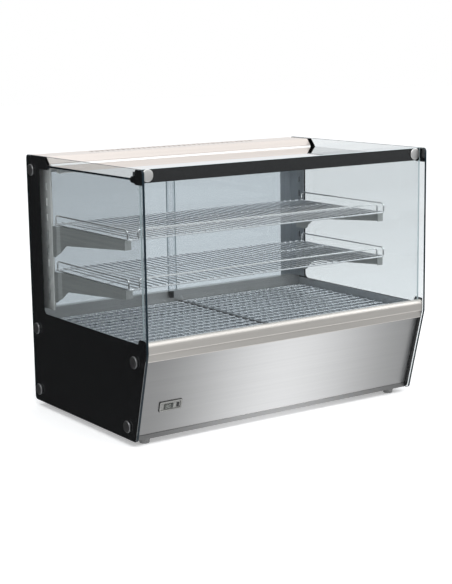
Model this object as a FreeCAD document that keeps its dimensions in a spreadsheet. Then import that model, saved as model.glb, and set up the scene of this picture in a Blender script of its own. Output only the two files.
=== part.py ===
import FreeCAD, Part
import os
import math
import Sketcher

# Countertop heated display case, in millimetres.
# X runs across the front, +Y to the rear doors, +Z up. The origin is under the middle of the case,
# at the level of the surface that the feet stand on.

os.makedirs("parts", exist_ok=True)
doc = FreeCAD.newDocument("heated_display_case")
sheet = doc.addObject("Spreadsheet::Sheet", "Sizes")


class Size:
    """A number that also carries the spreadsheet formula it comes from."""

    def __init__(self, value, formula):
        self.value = value
        self.formula = formula

    def __add__(self, other):
        return Size(self.value + number(other), f"({self.formula} + {formula(other)})")

    def __radd__(self, other):
        return Size(number(other) + self.value, f"({formula(other)} + {self.formula})")

    def __sub__(self, other):
        return Size(self.value - number(other), f"({self.formula} - {formula(other)})")

    def __rsub__(self, other):
        return Size(number(other) - self.value, f"({formula(other)} - {self.formula})")

    def __mul__(self, other):
        return Size(self.value * number(other), f"({self.formula} * {formula(other)})")

    __rmul__ = __mul__

    def __truediv__(self, other):
        return Size(self.value / number(other), f"({self.formula} / {formula(other)})")

    def __neg__(self):
        return Size(-self.value, f"(0 - {self.formula})")


def number(value):
    return value.value if isinstance(value, Size) else float(value)


def formula(value):
    return value.formula if isinstance(value, Size) else f"{value:g}"


def size(alias, value):
    """Put a driving dimension in the next row of the sheet."""
    size.row += 1
    sheet.set(f"A{size.row}", alias)
    sheet.set(f"B{size.row}", f"{value:g}")
    sheet.setAlias(f"B{size.row}", alias)
    return Size(float(value), f"Sizes.{alias}")


size.row = 0

# ---- driving dimensions -------------------------------------------------------------------------
case_width = size("case_width", 870)
case_depth = size("case_depth", 580)
case_height = size("case_height", 671)
foot_height = size("foot_height", 15)
glass = size("glass", 6)
pane = size("pane", 5)
sheet_metal = size("sheet_metal", 1.2)
fit_gap = size("fit_gap", 0.5)
bend_height = size("bend_height", 238)
toe_inset = size("toe_inset", 58)
corner_radius = size("corner_radius", 10)
glass_setback = size("glass_setback", 18.5)
top_drop = size("top_drop", 23)
canopy_depth = size("canopy_depth", 103)
canopy_slope = size("canopy_slope", 14.5)
canopy_lip = size("canopy_lip", 4.5)
band_height = size("band_height", 34)
bumper_top = size("bumper_top", 267)
bumper_bottom = size("bumper_bottom", 219)
bumper_depth = size("bumper_depth", 13.5)
bumper_wall = size("bumper_wall", 1.5)
bumper_step = size("bumper_step", 237)
bumper_set = size("bumper_set", 4)
panel_toe = size("panel_toe", 75)
panel_brow = size("panel_brow", 22)
deck_level = size("deck_level", 240)
tray_level = size("tray_level", 225)
tray_rim = size("tray_rim", 257)
sill_front = size("sill_front", 250)
sill_top = size("sill_top", 266)
track_wall = size("track_wall", 1.5)
upright_front = size("upright_front", 204)
upright_web = size("upright_web", 411)
upright_flange = size("upright_flange", 36)
lower_shelf = size("lower_shelf", 370)
upper_shelf = size("upper_shelf", 490)
shelf_front = size("shelf_front", -164)
shelf_rear = size("shelf_rear", 204)
shelf_half = size("shelf_half", 401)
frame_wire = size("frame_wire", 4)
thin_wire = size("thin_wire", 3.2)
guard_wire = size("guard_wire", 4)
guard_height = size("guard_height", 24)
wire_pitch = size("wire_pitch", 20)
bracket_sheet = size("bracket_sheet", 2)
bracket_drop = size("bracket_drop", 81)
bracket_nose = size("bracket_nose", 23)
cap_radius = size("cap_radius", 15)
cap_height = size("cap_height", 3)
stud_radius = size("stud_radius", 4)
foot_radius = size("foot_radius", 14)
rear_panel_set = size("rear_panel_set", 266)
door_lap = size("door_lap", 22)
pull_width = size("pull_width", 24)
knob_radius = size("knob_radius", 20)
gland_bore = size("gland_bore", 4)

half_width = case_width / 2
half_depth = case_depth / 2
inner_half = half_width - glass
clear_half = inner_half - fit_gap
front_face = glass_setback - half_depth
front_back = front_face + glass
top_level = case_height - top_drop

parts = []


# ---- helpers ------------------------------------------------------------------------------------
def bind(feature, prop, value):
    """Set a property, and tie it to the sheet when the value comes from there."""
    if isinstance(value, Size):
        feature.setExpression(prop, value.formula)
    else:
        feature.setExpression(prop, f"{float(value):g}")


def place(feature, at):
    for letter, value in zip("xyz", at):
        bind(feature, f"Placement.Base.{letter}", value)
    return feature


def box(dims, at):
    feature = doc.addObject("Part::Box", "Block")
    for prop, value in zip(("Length", "Width", "Height"), dims):
        bind(feature, prop, value)
    return place(feature, at)


def span(low, high):
    """A box from its lowest to its highest corner."""
    return box([top - bottom for bottom, top in zip(low, high)], low)


TURNS = {
    "X": FreeCAD.Rotation(FreeCAD.Vector(0, 1, 0), 90),
    "-X": FreeCAD.Rotation(FreeCAD.Vector(0, 1, 0), -90),
    "Y": FreeCAD.Rotation(FreeCAD.Vector(1, 0, 0), -90),
    "-Y": FreeCAD.Rotation(FreeCAD.Vector(1, 0, 0), 90),
    "Z": FreeCAD.Rotation(),
}


def rod(radius, length, at, axis="Z"):
    feature = doc.addObject("Part::Cylinder", "Rod")
    bind(feature, "Radius", radius)
    bind(feature, "Height", length)
    feature.Placement = FreeCAD.Placement(FreeCAD.Vector(), TURNS[axis])
    return place(feature, at)


def cut(base, tools):
    feature = doc.addObject("Part::Cut", "Cut")
    feature.Base = base
    feature.Tool = tools[0] if len(tools) == 1 else group(tools)
    return feature


def fuse(pieces):
    feature = doc.addObject("Part::MultiFuse", "Fuse")
    feature.Shapes = pieces
    return feature


def group(pieces):
    feature = doc.addObject("Part::Compound", "Group")
    feature.Links = pieces
    return feature


def common(first, second):
    feature = doc.addObject("Part::MultiCommon", "Common")
    feature.Shapes = [first, second]
    return feature


def node(name, feature):
    """Give a finished sub-part its name and put it on the export list."""
    feature.Label = name
    parts.append(feature)
    return feature


def outline(sketch, corners):
    """Draw one closed loop, with every corner dimensioned from the origin."""
    points = [FreeCAD.Vector(number(u), number(v), 0) for u, v in corners]
    first = sketch.GeometryCount
    for start, end in zip(points, points[1:] + points[:1]):
        sketch.addGeometry(Part.LineSegment(start, end), False)
    for index, (u, v) in enumerate(corners):
        edge = first + index
        following = first + (index + 1) % len(corners)
        sketch.addConstraint(Sketcher.Constraint("Coincident", edge, 2, following, 1))
        for kind, value in (("DistanceX", u), ("DistanceY", v)):
            given = sketch.addConstraint(Sketcher.Constraint(kind, -1, 1, edge, 1, number(value)))
            if isinstance(value, Size):
                sketch.setExpression(f"Constraints[{given}]", value.formula)


def extrusion(plane, loops, length, start, rounds=()):
    """A body padded from closed loops; rounds lists (radius, corners) along the pad's direction."""
    body = doc.addObject("PartDesign::Body", "Body")
    sketch = body.newObject("Sketcher::SketchObject", "Profile")
    origin_plane = [item for item in body.Origin.OriginFeatures if item.Role == plane][0]
    sketch.AttachmentSupport = [(origin_plane, "")]
    sketch.MapMode = "FlatFace"
    for corners in loops:
        outline(sketch, corners)
    pad = body.newObject("PartDesign::Pad", "Pad")
    pad.Profile = sketch
    bind(pad, "Length", length)
    sketch.Visibility = False
    last = pad
    along, across = {"YZ_Plane": ("x", "yz"), "XY_Plane": ("z", "xy")}[plane]
    for radius, corners in rounds:
        doc.recompute()
        wanted = [(number(u), number(v)) for u, v in corners]
        names = []
        for index, edge in enumerate(last.Shape.Edges, 1):
            if len(edge.Vertexes) != 2:
                continue
            low, high = (vertex.Point for vertex in edge.Vertexes)
            spot = tuple(getattr(low, letter) for letter in across)
            same = all(abs(getattr(high, letter) - value) < 1e-4 for letter, value in zip(across, spot))
            if same and any(math.dist(spot, corner) < 1e-3 for corner in wanted):
                names.append(f"Edge{index}")
        fillet = body.newObject("PartDesign::Fillet", "Fillet")
        fillet.Base = (last, names)
        bind(fillet, "Radius", radius)
        last = fillet
    body.Tip = last
    bind(body, f"Placement.Base.{along}", start)
    return body


def bent_wire(points, radius, bend):
    """Round wire along straight runs joined by arcs; returns the shape."""
    corners = [FreeCAD.Vector(*[number(value) for value in point]) for point in points]
    edges = []
    start = corners[0]
    for before, corner, after in zip(corners, corners[1:], corners[2:]):
        inward = (corner - before).normalize()
        outward = (after - corner).normalize()
        reach = number(bend) * math.tan(inward.getAngle(outward) / 2)
        entry = corner - inward * reach
        leave = corner + outward * reach
        middle = (outward - inward).normalize()
        centre_reach = math.hypot(reach, number(bend))
        midpoint = corner + middle * (centre_reach - number(bend))
        edges.append(Part.LineSegment(start, entry).toShape())
        edges.append(Part.Arc(entry, midpoint, leave).toShape())
        start = leave
    edges.append(Part.LineSegment(start, corners[-1]).toShape())
    spine = Part.Wire(edges)
    circle = Part.makeCircle(number(radius), corners[0], corners[1] - corners[0])
    return spine.makePipeShell([Part.Wire([circle])], True, False)


def shaped(shape):
    feature = doc.addObject("Part::Feature", "Shaped")
    feature.Shape = shape
    return feature


SIDES = (("left", -1), ("right", 1))


def across_x(side, near, far):
    """Low and high X of a stretch that lies between two distances from the middle."""
    return (near, far) if side > 0 else (-far, -near)


# ---- glass --------------------------------------------------------------------------------------
side_outline = [
    (half_depth, foot_height),
    (half_depth, case_height),
    (-half_depth, case_height),
    (-half_depth, bend_height),
    (toe_inset - half_depth, foot_height),
]
cap_rear = half_depth - 24
cap_front = 59 - half_depth
cap_top = case_height - 39
cap_middle = bend_height - 26
cap_low = foot_height + 31
cap_places = [
    (cap_rear, cap_top),
    (cap_rear, cap_middle),
    (cap_rear, cap_low),
    (cap_front, cap_middle),
    (toe_inset + 41 - half_depth, cap_low),
]
stud_clearance = stud_radius + fit_gap
drill_through = glass + 2

for side_name, side in SIDES:
    low_x, high_x = across_x(side, inner_half, half_width)
    square_corners = side_outline[:3] + side_outline[4:]
    rounds = [(corner_radius, square_corners), (corner_radius * 2.5, side_outline[3:4])]
    blank = extrusion("YZ_Plane", [side_outline], glass, low_x, rounds)
    drills = [rod(stud_clearance, drill_through, (low_x - 1, y, z), "X") for y, z in cap_places]
    node(f"side_glass_{side_name}", cut(blank, drills))

front_cap_x = inner_half - 19
front_cap_z = case_height - cap_radius - 0.5
front_bottom = bumper_bottom + 13
front_blank = span((-clear_half, front_face, front_bottom), (clear_half, front_back, case_height - 0.5))
front_drills = [
    rod(stud_clearance, drill_through, (side * front_cap_x, front_face - 1, front_cap_z), "Y")
    for side_name, side in SIDES
]
node("front_glass", cut(front_blank, front_drills))

canopy_front = half_depth - canopy_depth - 1.5
node("top_glass", span((-clear_half, front_back + fit_gap, top_level - pane),
                       (clear_half, canopy_front - 0.3, top_level)))


# ---- caps that cover the glass fixings ----------------------------------------------------------
def cap(at, outward, inward):
    """A round cap on the glass, with the stud that passes through it."""
    return fuse([rod(cap_radius, cap_height, at, outward), rod(stud_radius, glass + 3, at, inward)])


for side_name, side in SIDES:
    outward = "X" if side > 0 else "-X"
    inward = "-X" if side > 0 else "X"
    caps = [cap((side * half_width, y, z), outward, inward) for y, z in cap_places]
    node(f"side_caps_{side_name}", group(caps))

front_caps = [cap((side * front_cap_x, front_face, front_cap_z), "-Y", "Y") for side_name, side in SIDES]
node("front_caps", group(front_caps))

# ---- corner brackets between front, side and top glass -------------------------------------------
corner_reach = 28
corner_depth = 12
corner_height = 15
corner_near = front_cap_x - 10
corner_arm = clear_half - 8
corner_front = front_back + 0.2
corner_back = corner_front + corner_depth
corner_end = corner_front + corner_reach
for side_name, side in SIDES:
    plan = [
        (corner_near, corner_front), (clear_half, corner_front), (clear_half, corner_end),
        (corner_arm, corner_end), (corner_arm, corner_back), (corner_near, corner_back),
    ]
    plan = [(side * x, y) for x, y in plan]
    blank = extrusion("XY_Plane", [plan], corner_height, top_level + 0.3)
    drill = rod(stud_clearance, corner_depth + 2, (side * front_cap_x, corner_front - 1, front_cap_z), "Y")
    node(f"corner_bracket_{side_name}", cut(blank, [drill]))

# ---- canopy with vents, lamp and upper door track -------------------------------------------------
canopy_rear = half_depth - 1.5
canopy_top = case_height - 1.5
canopy_bottom = case_height - band_height + 1
slope_end = canopy_front + canopy_slope
canopy_outer = [
    (canopy_front, canopy_bottom),
    (canopy_front, top_level + canopy_lip),
    (slope_end, canopy_top),
    (canopy_rear, canopy_top),
    (canopy_rear, canopy_bottom),
]
canopy_inner = [
    (canopy_rear - sheet_metal, canopy_bottom),
    (canopy_rear - sheet_metal, canopy_top - sheet_metal),
    (slope_end + sheet_metal / 2, canopy_top - sheet_metal),
    (canopy_front + sheet_metal, top_level + canopy_lip - 0.5),
    (canopy_front + sheet_metal, canopy_bottom),
]
full_width = clear_half * 2
canopy_half = clear_half - 6.5
canopy_blank = extrusion("YZ_Plane", [canopy_outer + canopy_inner], canopy_half * 2, -canopy_half)
vent_count = 33
vent_pitch = 16.2
vent_width = 8
vent_length = 20
vent_first = -vent_pitch * (vent_count - 1) / 2 - vent_width / 2
vents = [
    box((vent_width, vent_length, 6), (vent_first + vent_pitch * index, canopy_rear - 42, canopy_top - 3))
    for index in range(vent_count)
]
node("canopy_cover", cut(canopy_blank, vents))
node("canopy_floor", span((-clear_half, canopy_front + 1.5, canopy_bottom - sheet_metal),
                          (clear_half, canopy_rear - 1.5, canopy_bottom)))

lamp_half = half_width - 45
lamp_front = canopy_front + 8
lamp_rear = lamp_front + 20
lamp_top = canopy_bottom - sheet_metal
lamp_low = lamp_top - 10
lamp_under = lamp_top - sheet_metal
lamp_channel = [
    (lamp_front, lamp_low), (lamp_front, lamp_top), (lamp_rear, lamp_top), (lamp_rear, lamp_low),
    (lamp_rear - sheet_metal, lamp_low), (lamp_rear - sheet_metal, lamp_under),
    (lamp_front + sheet_metal, lamp_under), (lamp_front + sheet_metal, lamp_low),
]
node("lamp_channel", extrusion("YZ_Plane", [lamp_channel], lamp_half * 2, -lamp_half))
diffuser_play = sheet_metal + 0.3
diffuser = [
    (lamp_front + diffuser_play, lamp_low - 3), (lamp_front + diffuser_play, lamp_top - 3),
    (lamp_rear - diffuser_play, lamp_top - 3), (lamp_rear - diffuser_play, lamp_low - 3),
]
node("lamp_diffuser", extrusion("YZ_Plane", [diffuser], lamp_half * 2 - 4, 2 - lamp_half,
                                [(5, [diffuser[0], diffuser[3]])]))

track_front = sill_front + 18.7
groove = pane + 2.4
track_middle = track_front + track_wall + groove
track_rear = track_middle + track_wall + groove
track_top = canopy_bottom - sheet_metal
track_low = track_top - 15
track_web = track_top - track_wall
top_track = [
    (track_front, track_low), (track_front, track_top),
    (track_rear + track_wall, track_top), (track_rear + track_wall, track_low),
    (track_rear, track_low), (track_rear, track_web),
    (track_middle + track_wall, track_web), (track_middle + track_wall, track_low),
    (track_middle, track_low), (track_middle, track_web),
    (track_front + track_wall, track_web), (track_front + track_wall, track_low),
]
node("door_track_top", extrusion("YZ_Plane", [top_track], full_width - 6, 3 - clear_half))

# ---- rear sill with the lower door tracks ---------------------------------------------------------
sill_low = deck_level - 4
groove_floor = sill_top - 16
fin_top = sill_top - 8
sill_outer = [
    (sill_front, sill_low), (sill_front, sill_top),
    (track_front + track_wall, sill_top), (track_front + track_wall, groove_floor),
    (track_middle, groove_floor), (track_middle, fin_top),
    (track_middle + track_wall, fin_top), (track_middle + track_wall, groove_floor),
    (track_rear, groove_floor), (track_rear, fin_top),
    (track_rear + track_wall, fin_top), (track_rear + track_wall, sill_low),
]
sill_inner = [
    (sill_front + track_wall, sill_low + track_wall), (sill_front + track_wall, sill_top - track_wall),
    (track_front, sill_top - track_wall), (track_front, groove_floor - track_wall),
    (track_rear, groove_floor - track_wall), (track_rear, sill_low + track_wall),
]
node("rear_sill", extrusion("YZ_Plane", [sill_outer, sill_inner], full_width, -clear_half))
stop_x = -25
stop_half = 6
node("door_stop_block", span((stop_x - stop_half, sill_front - 8, sill_top - 18),
                             (stop_x + stop_half, sill_front, sill_top)))

# ---- uprights with bracket slots -----------------------------------------------------------------
slot_y = upright_front + 22
slot_width = 7
slot_height = 18
slot_step = 40
slot_levels = [lower_shelf - 60 + slot_step * index for index in range(8)]
web_outer = upright_web + sheet_metal
flange_end = upright_web - upright_flange
flange_front = sill_front + 17
for side_name, side in SIDES:
    plan = [
        (upright_web, upright_front), (upright_web, flange_front), (flange_end, flange_front),
        (flange_end, flange_front + sheet_metal), (web_outer, flange_front + sheet_metal),
        (web_outer, upright_front),
    ]
    plan = [(side * x, y) for x, y in plan]
    blank = extrusion("XY_Plane", [plan], track_top - sill_top - 0.6, sill_top + 0.3)
    low_x, high_x = across_x(side, upright_web - 1, web_outer + 1)
    slots = [
        span((low_x, slot_y - slot_width / 2, level - slot_height / 2),
             (high_x, slot_y + slot_width / 2, level + slot_height / 2))
        for level in slot_levels
    ]
    node(f"upright_{side_name}", cut(blank, slots))


# ---- cantilever shelf brackets --------------------------------------------------------------------
def shelf_bracket(side, shelf):
    """Folded sheet arm: plate hooked on the upright, joggle, tapering arm, nose and top flange."""
    root = upright_web - bracket_sheet
    arm = upright_web - 8
    nose_y = shelf_front + 11
    plan = [
        (upright_web, slot_y + 12), (upright_web, upright_front - 21),
        (arm + bracket_sheet, upright_front - 31), (arm + bracket_sheet, nose_y),
        (arm - 16, nose_y), (arm - 16, nose_y + bracket_sheet),
        (arm, nose_y + bracket_sheet), (arm, upright_front - 30.4), (root, upright_front - 20.4),
        (root, slot_y + 12),
    ]
    plan = [(side * x, y) for x, y in plan]
    foot = shelf - bracket_drop
    folded = extrusion("XY_Plane", [plan], bracket_drop, foot)
    profile = [
        (nose_y - 2, shelf - bracket_nose), (nose_y - 2, shelf), (slot_y + 13, shelf),
        (slot_y + 13, foot), (upright_front - 12, foot), (upright_front - 60, shelf - bracket_nose - 24),
    ]
    low_x, high_x = across_x(side, arm - 20, upright_web + 4)
    blade = extrusion("YZ_Plane", [profile], high_x - low_x, low_x,
                      [(34, [profile[5]]), (4, [profile[4]])])
    low_x, high_x = across_x(side, arm - 13, arm + 1)
    flange = span((low_x, nose_y + 1, shelf - bracket_sheet), (high_x, upright_front - 34, shelf))
    hooks = []
    for level in (shelf - 60, shelf - 20):
        low_x, high_x = across_x(side, root + 1, web_outer + 4)
        hooks.append(span((low_x, slot_y - 2, level - 9), (high_x, slot_y + 2, level + 1)))
        low_x, high_x = across_x(side, web_outer + 0.4, web_outer + 4)
        hooks.append(span((low_x, slot_y - 2, level - 17), (high_x, slot_y + 2, level + 1)))
    return fuse([common(folded, blade), flange] + hooks)


for shelf_name, shelf in (("lower", lower_shelf), ("upper", upper_shelf)):
    for side_name, side in SIDES:
        node(f"bracket_{shelf_name}_{side_name}", shelf_bracket(side, shelf))


# ---- wire shelves -----------------------------------------------------------------------------------
def straight_wires(axis, radius, low, high, places, level):
    """Wires along X or Y between two ends, one at each place across."""
    along = FreeCAD.Vector(1, 0, 0) if axis == "X" else FreeCAD.Vector(0, 1, 0)
    starts = [(low, spot, level) if axis == "X" else (spot, low, level) for spot in places]
    return [Part.makeCylinder(radius, high - low, FreeCAD.Vector(*start), along) for start in starts]


def evenly(low, high, pitch):
    """Positions between two ends, as near to the pitch as divides evenly, ends left out."""
    count = round((high - low) / pitch)
    return [low + (high - low) * index / count for index in range(1, count)]


thick = number(frame_wire) / 2
thin = number(thin_wire) / 2
weld = 0.5
weld_slack = 0.1
thin_level = 2 * thick + thin - weld
front_y = number(shelf_front)
rear_y = number(shelf_rear)
half = number(shelf_half)
shelf_frame = bent_wire([(-half, rear_y + 3, thick), (-half, front_y, thick),
                         (half, front_y, thick), (half, rear_y + 3, thick)], thick, 10)
cross_places = [front_y + 122, front_y + 245, rear_y]
thin_places = evenly(-half, half, number(wire_pitch))
shelf_shape = shelf_frame.fuse(
    straight_wires("X", thick - weld_slack, -half, half, cross_places, thick)
    + straight_wires("Y", thin, front_y - 1, rear_y + 1, thin_places, thin_level)
)


def guard(points):
    return bent_wire(points, guard_wire / 2, 8)


for shelf_name, shelf in (("lower", lower_shelf), ("upper", upper_shelf)):
    grid = shaped(shelf_shape)
    node(f"{shelf_name}_shelf_grid", place(grid, (0, 0, shelf)))
    foot_z = shelf + frame_wire
    top_z = foot_z + guard_height - guard_wire / 2
    rails = []
    for side in (-1, 1):
        x = side * half
        rails.append(guard([(x, rear_y - 4, foot_z), (x, rear_y - 4, top_z),
                            (x, front_y + 4, top_z), (x, front_y + 4, foot_z)]))
    reach = half - 27
    rails.append(guard([(-reach, front_y, foot_z), (-reach, front_y, top_z),
                        (reach, front_y, top_z), (reach, front_y, foot_z)]))
    node(f"{shelf_name}_shelf_guard", shaped(Part.makeCompound(rails)))

# ---- deck: tray with two lift-out grids ----------------------------------------------------------------
tray_front = front_back + 2.2
tray_rear = sill_front - 0.3
tray_block = span((-clear_half, tray_front, tray_level - sheet_metal), (clear_half, tray_rear, tray_rim))
tray_hollow = span((sheet_metal - clear_half, tray_front + sheet_metal, tray_level),
                   (clear_half - sheet_metal, tray_rear - sheet_metal, tray_rim + 5))
rear_notch = span((sheet_metal - clear_half, tray_rear - 5, sill_low),
                  (clear_half - sheet_metal, tray_rear + 5, tray_rim + 5))
slot_pitch = 43.1
slot_length = 32
rear_slots = [
    box((slot_length, 14, 6), (slot_pitch * (index - 8.5) - slot_length / 2, 146, tray_level - 4))
    for index in range(18)
]
middle_slots = [
    box((10, slot_length, 6), (-5, slot_pitch * index - 232, tray_level - 4)) for index in range(8)
]
node("deck_tray", cut(tray_block, [tray_hollow, rear_notch] + rear_slots + middle_slots))

grid_low_y = number(tray_front) + 7
grid_high_y = number(tray_rear) - 11
grid_level = number(deck_level) - number(frame_wire) - number(thin_wire) + 0.5
grid_half = 205
grid_pitch = 20.5
grid_middle = 214
rail_end = grid_half + 2.3
rod_places = evenly(-grid_half - grid_pitch, grid_half + grid_pitch, grid_pitch)
grid_rails = straight_wires("X", thick, -rail_end, rail_end, [grid_low_y, grid_high_y], thick)
cross_end = grid_half + 1
thin_rows = evenly(grid_low_y, grid_high_y, 30)
grid_shape = grid_rails[0].fuse(
    grid_rails[1:]
    + straight_wires("Y", thick - weld_slack, grid_low_y, grid_high_y, rod_places, thick)
    + straight_wires("X", thin, -cross_end, cross_end, thin_rows, thin_level)
)
for side_name, side in SIDES:
    grid = shaped(grid_shape)
    node(f"deck_grid_{side_name}", place(grid, (side * grid_middle, 0, grid_level)))

# ---- bumper and the channel that holds the front glass ---------------------------------------------------
bumper_rear = front_face - 2.1
bumper_front = bumper_rear - bumper_depth
bumper_low_front = bumper_front + bumper_set
bumper_outer = [
    (bumper_rear, bumper_bottom), (bumper_low_front, bumper_bottom),
    (bumper_low_front, bumper_step), (bumper_front, bumper_step),
    (bumper_front, bumper_top), (bumper_rear, bumper_top),
]
bumper_inner = [
    (bumper_rear - bumper_wall, bumper_bottom + bumper_wall),
    (bumper_low_front + bumper_wall, bumper_bottom + bumper_wall),
    (bumper_low_front + bumper_wall, bumper_step + bumper_wall),
    (bumper_front + bumper_wall, bumper_step + bumper_wall),
    (bumper_front + bumper_wall, bumper_top - bumper_wall),
    (bumper_rear - bumper_wall, bumper_top - bumper_wall),
]
bumper_rounds = [
    (11, [bumper_outer[4]]), (9.5, [bumper_inner[4]]), (3, [bumper_outer[3]]), (2, [bumper_outer[1]]),
]
node("bumper", extrusion("YZ_Plane", [bumper_outer, bumper_inner], full_width, -clear_half, bumper_rounds))
channel_front = front_face - 1.7
channel_rear = front_back + 1.7
channel_low = front_bottom - 3
channel_high = front_bottom + 14
channel = [
    (channel_front, channel_low), (channel_front, channel_high), (channel_front + 1.4, channel_high),
    (channel_front + 1.4, channel_low + 1.5), (channel_rear - 1.4, channel_low + 1.5),
    (channel_rear - 1.4, channel_high), (channel_rear, channel_high), (channel_rear, channel_low),
]
node("front_glass_channel", extrusion("YZ_Plane", [channel], full_width, -clear_half))

# ---- base: front panel, pan, sides, rear panel --------------------------------------------------
brow_y = panel_brow - half_depth
toe_y = panel_toe - half_depth
brow_z = bumper_bottom - 0.8
toe_z = foot_height + 2
lean = (toe_y - brow_y) / (brow_z - toe_z)
slant = sheet_metal * 1.034
front_sheet = [
    (brow_y + 18, brow_z), (brow_y, brow_z), (toe_y, toe_z), (toe_y + 12, toe_z),
    (toe_y + 12, toe_z + sheet_metal), (toe_y + slant - lean * sheet_metal, toe_z + sheet_metal),
    (brow_y + slant + lean * sheet_metal, brow_z - sheet_metal), (brow_y + 18, brow_z - sheet_metal),
]
front_blank = extrusion("YZ_Plane", [front_sheet], full_width, -clear_half)

gauge_z = 93.5
gauge_x = 96 - half_width
gauge_y = brow_y + lean * (brow_z - gauge_z)
panel_tilt = math.degrees(math.atan(number(lean)))
gauge_turn = FreeCAD.Rotation(FreeCAD.Vector(1, 0, 0), panel_tilt)


def on_front_panel(feature):
    """Stand a piece drawn flat on the leaning front panel, at the thermometer's place."""
    feature.Placement = FreeCAD.Placement(FreeCAD.Vector(), gauge_turn)
    return place(feature, (gauge_x, gauge_y, gauge_z))


def centred(width, low_y, high_y, height):
    return span((-width / 2, low_y, -height / 2), (width / 2, high_y, height / 2))


gauge_width = 65
gauge_height = 27
gauge_lip = 3.4
gauge_back = 0.3
body_width = 58
body_height = 22
window_width = 27
window_height = 17
window_floor = 1.8
gauge_hole = on_front_panel(group([centred(body_width + 0.6, -6, 8, body_height + 0.6)]))
node("front_panel", cut(front_blank, [gauge_hole]))
gauge_solid = fuse([
    centred(gauge_width, -gauge_lip, -gauge_back, gauge_height),
    centred(body_width, -gauge_back - 0.1, 26, body_height),
])
window_seat = centred(window_width, -gauge_lip - 1, -window_floor, window_height)
node("thermometer_body", on_front_panel(cut(gauge_solid, [window_seat])))
window = centred(window_width - 0.4, -gauge_lip + 0.4, -window_floor, window_height - 0.4)
node("thermometer_window", on_front_panel(group([window])))
probe_level = tray_level - sheet_metal - 4
node("thermometer_probe", rod(3, 40, (-320, -150, probe_level), "X"))

pan_front = toe_y - 4
pan_floor = foot_height + sheet_metal
pan_block = span((-clear_half, pan_front, foot_height), (clear_half, canopy_rear, foot_height + 11))
pan_hollow = span((-half_width, pan_front + sheet_metal, pan_floor),
                  (half_width, canopy_rear - sheet_metal, bend_height))
foot_x = 390
foot_places = [
    ("front_left", -foot_x, toe_y + 20), ("front_right", foot_x, toe_y + 20),
    ("rear_left", -foot_x, half_depth - 50), ("rear_right", foot_x, half_depth - 50),
]
foot_stud = 3
foot_drills = [rod(foot_stud + 0.3, 6, (x, y, foot_height - 2)) for name, x, y in foot_places]
node("base_pan", cut(pan_block, [pan_hollow] + foot_drills))
for foot_name, x, y in foot_places:
    pad = doc.addObject("Part::Cone", "Pad")
    bind(pad, "Radius1", foot_radius - 2)
    bind(pad, "Radius2", foot_radius)
    bind(pad, "Height", foot_height)
    place(pad, (x, y, 0))
    node(f"foot_{foot_name}", fuse([pad, rod(foot_stud, foot_height + 8, (x, y, 0))]))

side_x = inner_half - 5
for side_name, side in SIDES:
    low_x, high_x = across_x(side, side_x, side_x + sheet_metal)
    node(f"base_side_{side_name}",
         span((low_x, toe_y + 13, pan_floor + 0.3), (high_x, rear_panel_set - 1, tray_level - 4)))

panel_half = side_x - 0.5
panel_low = pan_floor + 0.3
rear_blank = span((-panel_half, rear_panel_set, panel_low),
                  (panel_half, rear_panel_set + sheet_metal, sill_low - 0.3))
gland_x, gland_z = (-330, 60)
dial_x, dial_z = (250, 130)
switch_places = (("light", 310, 130), ("heat", 352, 130))
screw_places = [(x, z) for x in (-405, -140, 140, 405) for z in (35, 222)]
rocker_half = 11
housing_half = rocker_half + 2
housing_rise = 10
drill_start = rear_panel_set - 2
louvres = [
    box((70, 6, 3.5), (first + 90 * column, drill_start, 90 + 12 * row))
    for first in (-220, 20) for column in range(2) for row in range(6)
]
rear_drills = [
    rod(8, 6, (gland_x, drill_start, gland_z), "Y"),
    rod(5, 6, (dial_x, drill_start, dial_z), "Y"),
]
rear_drills += [rod(2.2, 6, (x, drill_start, z), "Y") for x, z in screw_places]
rear_drills += [
    span((x - housing_half - 0.3, drill_start, z - housing_rise - 0.3),
         (x + housing_half + 0.3, drill_start + 6, z + housing_rise + 0.3))
    for name, x, z in switch_places
]
node("rear_panel", cut(rear_blank, louvres + rear_drills))
panel_skin = rear_panel_set + sheet_metal
screws = [
    fuse([rod(4, 2.2, (x, panel_skin, z), "Y"), rod(1.9, 8, (x, panel_skin - 6, z), "Y")])
    for x, z in screw_places
]
node("rear_panel_screws", group(screws))

# ---- electrical pieces ---------------------------------------------------------------------------------
gland_solid = fuse([
    rod(11, 8, (gland_x, panel_skin, gland_z), "Y"),
    rod(8.5, 14, (gland_x, panel_skin, gland_z), "Y"),
    rod(7.8, 24, (gland_x, rear_panel_set - 10, gland_z), "Y"),
    rod(11, 6, (gland_x, rear_panel_set - 7, gland_z), "Y"),
])
node("cable_gland", cut(gland_solid, [rod(gland_bore, 40, (gland_x, rear_panel_set - 20, gland_z), "Y")]))

shaft_radius = 3
case_half = 20
case_front = rear_panel_set - 0.3
node("thermostat_body", fuse([
    span((dial_x - case_half, rear_panel_set - 30, dial_z - case_half),
         (dial_x + case_half, case_front, dial_z + case_half)),
    rod(shaft_radius, 16, (dial_x, case_front, dial_z), "Y"),
]))
knob_y = panel_skin + 2
knob_length = 16
knob_solid = fuse([
    rod(knob_radius, 6, (dial_x, knob_y, dial_z), "Y"),
    rod(knob_radius - 4, knob_length, (dial_x, knob_y, dial_z), "Y"),
    span((dial_x - 2, knob_y + 1, dial_z),
         (dial_x + 2, knob_y + knob_length + 1.5, dial_z + knob_radius - 1)),
])
knob_bore = rod(shaft_radius + 0.05, knob_length - 2, (dial_x, knob_y - 1, dial_z), "Y")
node("thermostat_knob", cut(knob_solid, [knob_bore]))

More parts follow.
